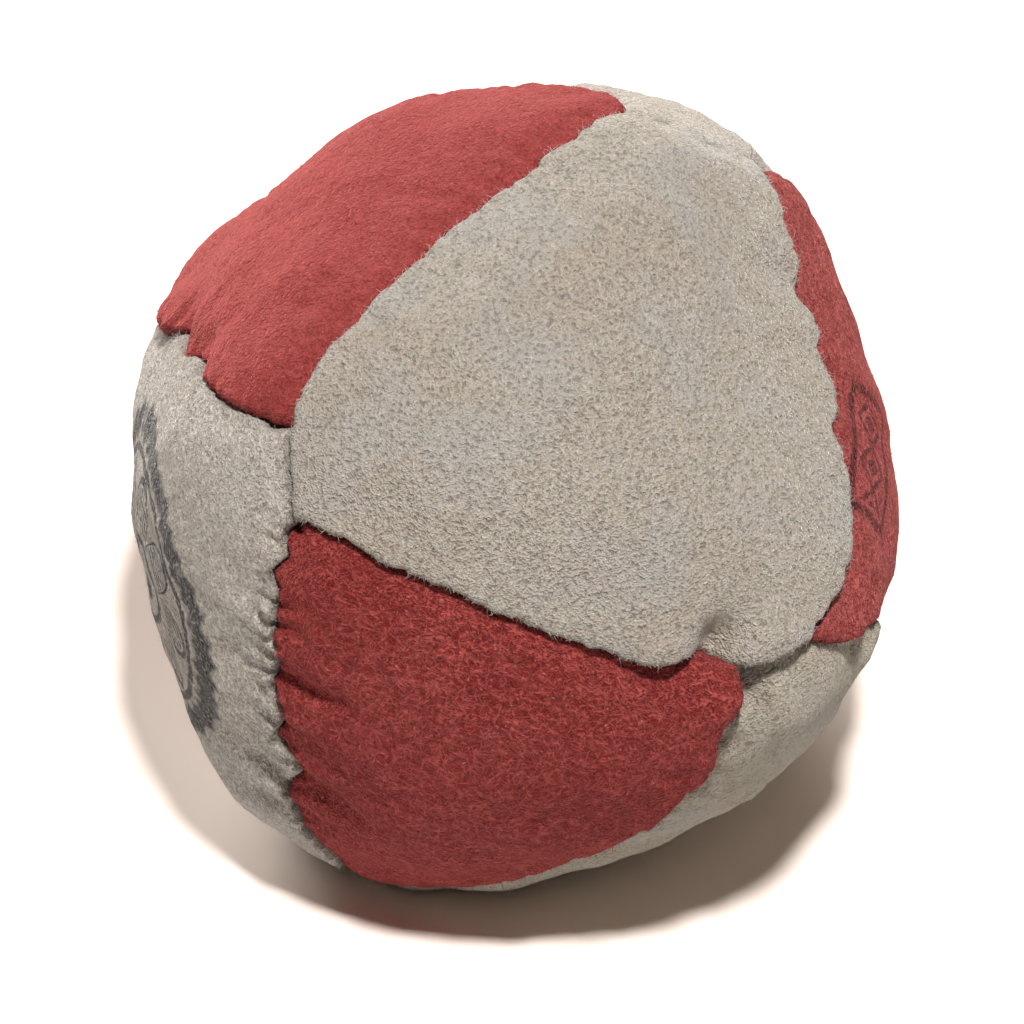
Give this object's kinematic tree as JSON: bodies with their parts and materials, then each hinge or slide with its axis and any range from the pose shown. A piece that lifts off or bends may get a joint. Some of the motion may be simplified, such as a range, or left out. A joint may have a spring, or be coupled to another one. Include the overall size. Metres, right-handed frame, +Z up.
{
  "type": "footbag",
  "caption": "Small kick bag of grey and red suede panels sewn together over a loose pellet fill, slack enough to sag onto a flat base.",
  "frame": {"origin": "on the ground, under the middle of the bag's bounding box", "axes": "+Z up as the bag lies, -Y towards the side where the front grey panel meets the front red one, +X to the right seen from there"},
  "size_m": [0.0518, 0.0508, 0.0485],
  "materials": {
    "grey_suede": "matt warm grey suede with a short nap",
    "red_suede": "matt brick red suede with a short nap",
    "thread": "matt sewing thread",
    "pellets": "plain off-white plastic pellets"
  },
  "bodies": {
    "root": {"grey_panel_front": "grey_suede", "grey_panel_left": "grey_suede", "grey_panel_base": "grey_suede", "grey_panel_back": "grey_suede", "red_panel_top": "red_suede", "red_panel_front": "red_suede", "red_panel_right": "red_suede", "red_panel_under": "red_suede", "pellet_fill": "pellets", "thread_grey_back_red_right": "thread", "thread_grey_back_red_top": "thread", "thread_grey_back_red_under": "thread", "thread_grey_base_grey_back": "thread", "thread_grey_base_red_front": "thread", "thread_grey_base_red_right": "thread", "thread_grey_base_red_under": "thread", "thread_grey_front_grey_back": "thread", "thread_grey_front_grey_base": "thread", "thread_grey_front_grey_left": "thread", "thread_grey_front_red_front": "thread", "thread_grey_front_red_right": "thread", "thread_grey_front_red_top": "thread", "thread_grey_left_grey_back": "thread", "thread_grey_left_grey_base": "thread", "thread_grey_left_red_front": "thread", "thread_grey_left_red_top": "thread", "thread_grey_left_red_under": "thread"}
  },
  "joints": []
}
